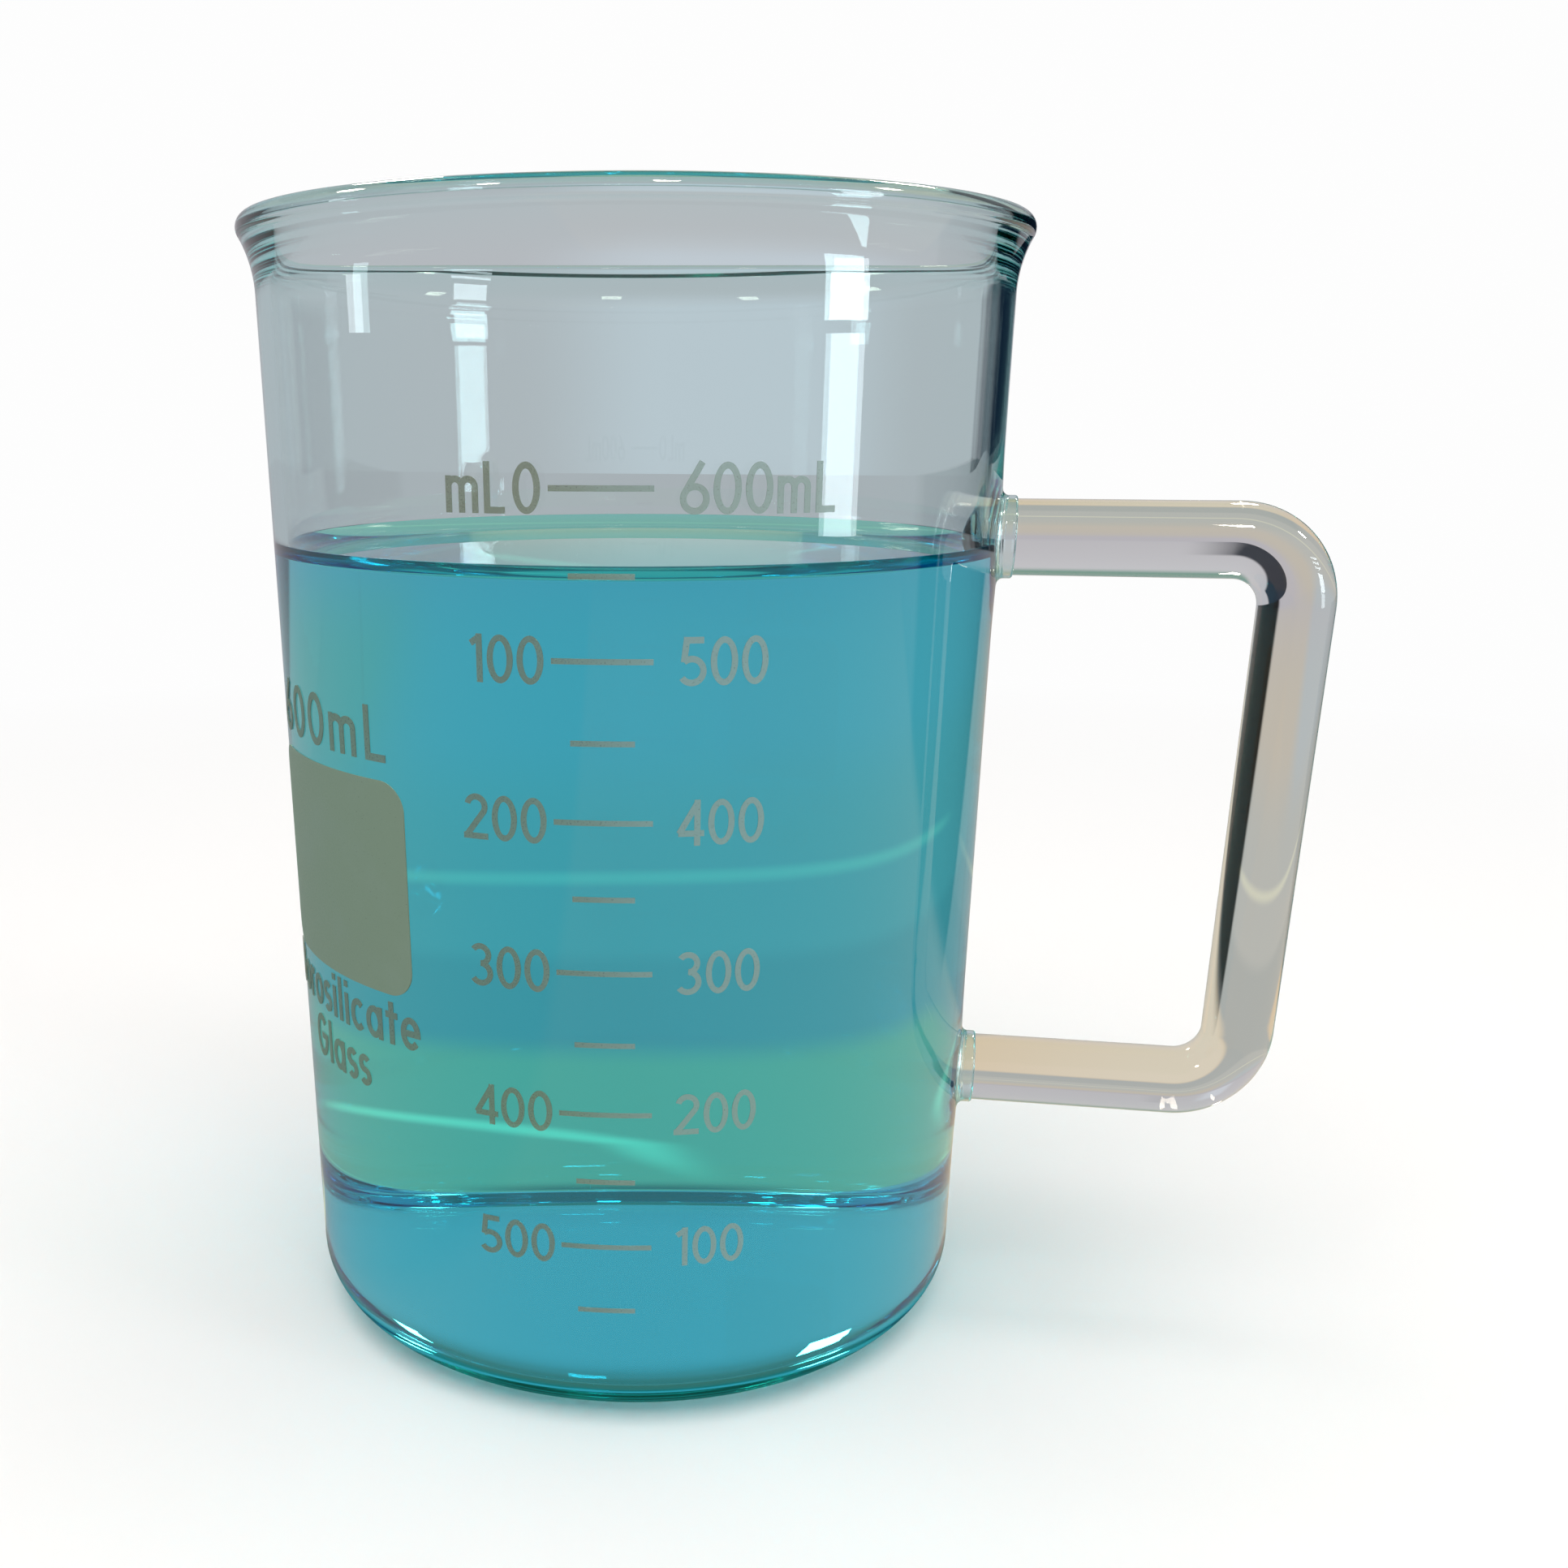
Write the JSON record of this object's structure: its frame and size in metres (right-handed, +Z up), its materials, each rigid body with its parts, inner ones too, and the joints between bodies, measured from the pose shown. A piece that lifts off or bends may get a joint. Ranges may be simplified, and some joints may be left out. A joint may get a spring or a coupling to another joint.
{
  "type": "glass laboratory beaker with handle",
  "caption": "Clear glass laboratory beaker with a flared beaded rim, a welded glass-rod handle and a printed volume scale, part filled with blue liquid.",
  "frame": {"origin": "on the cup's axis, in the flat underside that it stands on", "axes": "+Z up along the cup's axis; +X towards the handle; the printed scale faces -Y"},
  "size_m": [0.1318, 0.0934, 0.1379],
  "materials": {
    "clear_glass": "polished",
    "handle_glass": "polished",
    "blue_liquid": "polished",
    "grey_enamel": "matte"
  },
  "bodies": {
    "root": {"beaker_body": "clear_glass", "handle_rod": "handle_glass", "upper_weld_collar": "handle_glass", "lower_weld_collar": "handle_glass", "blue_liquid": "blue_liquid", "major_graduation_lines": "grey_enamel", "minor_graduation_lines": "grey_enamel", "rising_scale_numerals": "grey_enamel", "falling_scale_numerals": "grey_enamel", "scale_unit_marks": "grey_enamel", "capacity_mark": "grey_enamel", "marking_spot": "grey_enamel", "material_mark": "grey_enamel"}
  },
  "joints": []
}
